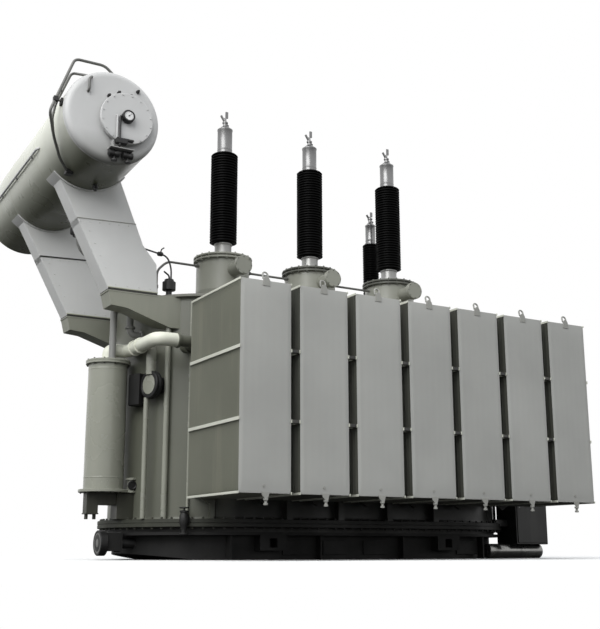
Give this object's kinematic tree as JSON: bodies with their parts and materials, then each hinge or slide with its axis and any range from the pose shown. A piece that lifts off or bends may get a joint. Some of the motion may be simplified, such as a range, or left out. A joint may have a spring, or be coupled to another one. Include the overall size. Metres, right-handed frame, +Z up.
{
  "type": "power transformer",
  "caption": "Oil-filled power transformer with a row of panel radiators, high-voltage bushings on turrets and a raised round conservator.",
  "frame": {"origin": "on the floor under the centre of the tank, in the plane of the base's underside", "axes": "+Z up; -Y the side with the radiators; +X along the row of radiators, away from the conservator"},
  "size_m": [6.3212, 3.9326, 5.249],
  "materials": {
    "tank_paint": "satin grey enamel",
    "radiator_paint": "satin grey enamel",
    "bar_metal": "satin light grey enamel",
    "base_paint": "dark paint, dusty",
    "porcelain": "dark glaze",
    "cap_metal": "matt cast aluminium",
    "valve_black": "black gloss paint",
    "roller_steel": "worn bare steel",
    "dial_metal": "black paint"
  },
  "bodies": {
    "root": {"arm_brackets": "tank_paint", "base_frame": "base_paint", "bell_flange": "tank_paint", "bell_tank": "tank_paint", "bushing_1": "porcelain", "bushing_2": "porcelain", "bushing_3": "porcelain", "bushing_caps": "cap_metal", "conservator_arms": "tank_paint", "conservator_cover": "tank_paint", "conservator_far_end": "tank_paint", "conservator_near_end": "tank_paint", "conservator_shell": "tank_paint", "control_cabinet": "valve_black", "filter_body": "tank_paint", "filter_flanges": "tank_paint", "filter_pipes": "tank_paint", "gas_pipe": "tank_paint", "gas_relay": "valve_black", "guard_rail": "tank_paint", "jacking_pads": "base_paint", "level_gauge": "dial_metal", "low_voltage_bushings": "porcelain", "lower_tank": "tank_paint", "neutral_bushing": "porcelain", "neutral_cap": "cap_metal", "neutral_turret": "tank_paint", "oil_pipe": "tank_paint", "radiator_1": "radiator_paint", "radiator_2": "radiator_paint", "radiator_3": "radiator_paint", "radiator_4": "radiator_paint", "radiator_5": "radiator_paint", "radiator_6": "radiator_paint", "radiator_7": "radiator_paint", "radiator_bars": "bar_metal", "radiator_necks": "tank_paint", "round_valve": "valve_black", "skid_rollers": "roller_steel", "tank_cover": "tank_paint", "tank_stiffeners": "tank_paint", "turret_1": "tank_paint", "turret_2": "tank_paint", "turret_3": "tank_paint", "valves": "valve_black"}
  },
  "joints": []
}
